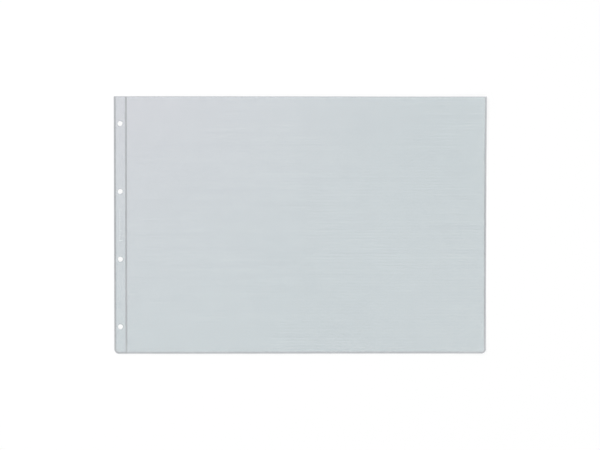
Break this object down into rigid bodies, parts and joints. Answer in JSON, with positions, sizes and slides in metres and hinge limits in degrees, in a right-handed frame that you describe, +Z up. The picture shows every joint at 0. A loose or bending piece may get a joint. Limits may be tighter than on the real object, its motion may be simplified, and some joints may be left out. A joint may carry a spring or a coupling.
{
  "type": "punched pocket",
  "caption": "Clear landscape A3 punched pocket with a welded binding margin, ring holes, a spine weld that folds and an open top mouth.",
  "frame": {"origin": "middle of the underside, on the surface that the pocket lies on", "axes": "+X from the ring edge to the fore edge, +Y from the foot to the open mouth, +Z up from the back film to the front film"},
  "size_m": [0.44, 0.304, 0.0008],
  "materials": {
    "pocket_film": "clear glossy film with a faint cool grey haze",
    "margin_film": "clear glossy film, stiffer where both edges are welded",
    "weld": "pressed weld line, darker and slightly rippled"
  },
  "bodies": {
    "margin": {"margin_back_film": "margin_film", "margin_front_film": "margin_film", "ring_edge_weld": "weld", "margin_foot_weld": "weld", "spine_weld": "weld"},
    "pocket": {"pocket_back_film": "pocket_film", "pocket_foot_weld": "weld", "fore_edge_weld": "weld"},
    "front": {"pocket_front_film": "pocket_film"}
  },
  "joints": [
    {"name": "page_turn", "type": "hinge", "parent": "margin", "child": "pocket", "pos_m": [-0.2057, 0, 0.00035], "axis": [0, -1, 0], "range_deg": [0, 90], "deforming": ["spine_weld"]},
    {"name": "mouth_open", "type": "hinge", "parent": "pocket", "child": "front", "pos_m": [0, -0.1496, 0.0007], "axis": [1, 0, 0], "range_deg": [0, 5], "stiffness_Nm_per_rad": 0.03}
  ]
}
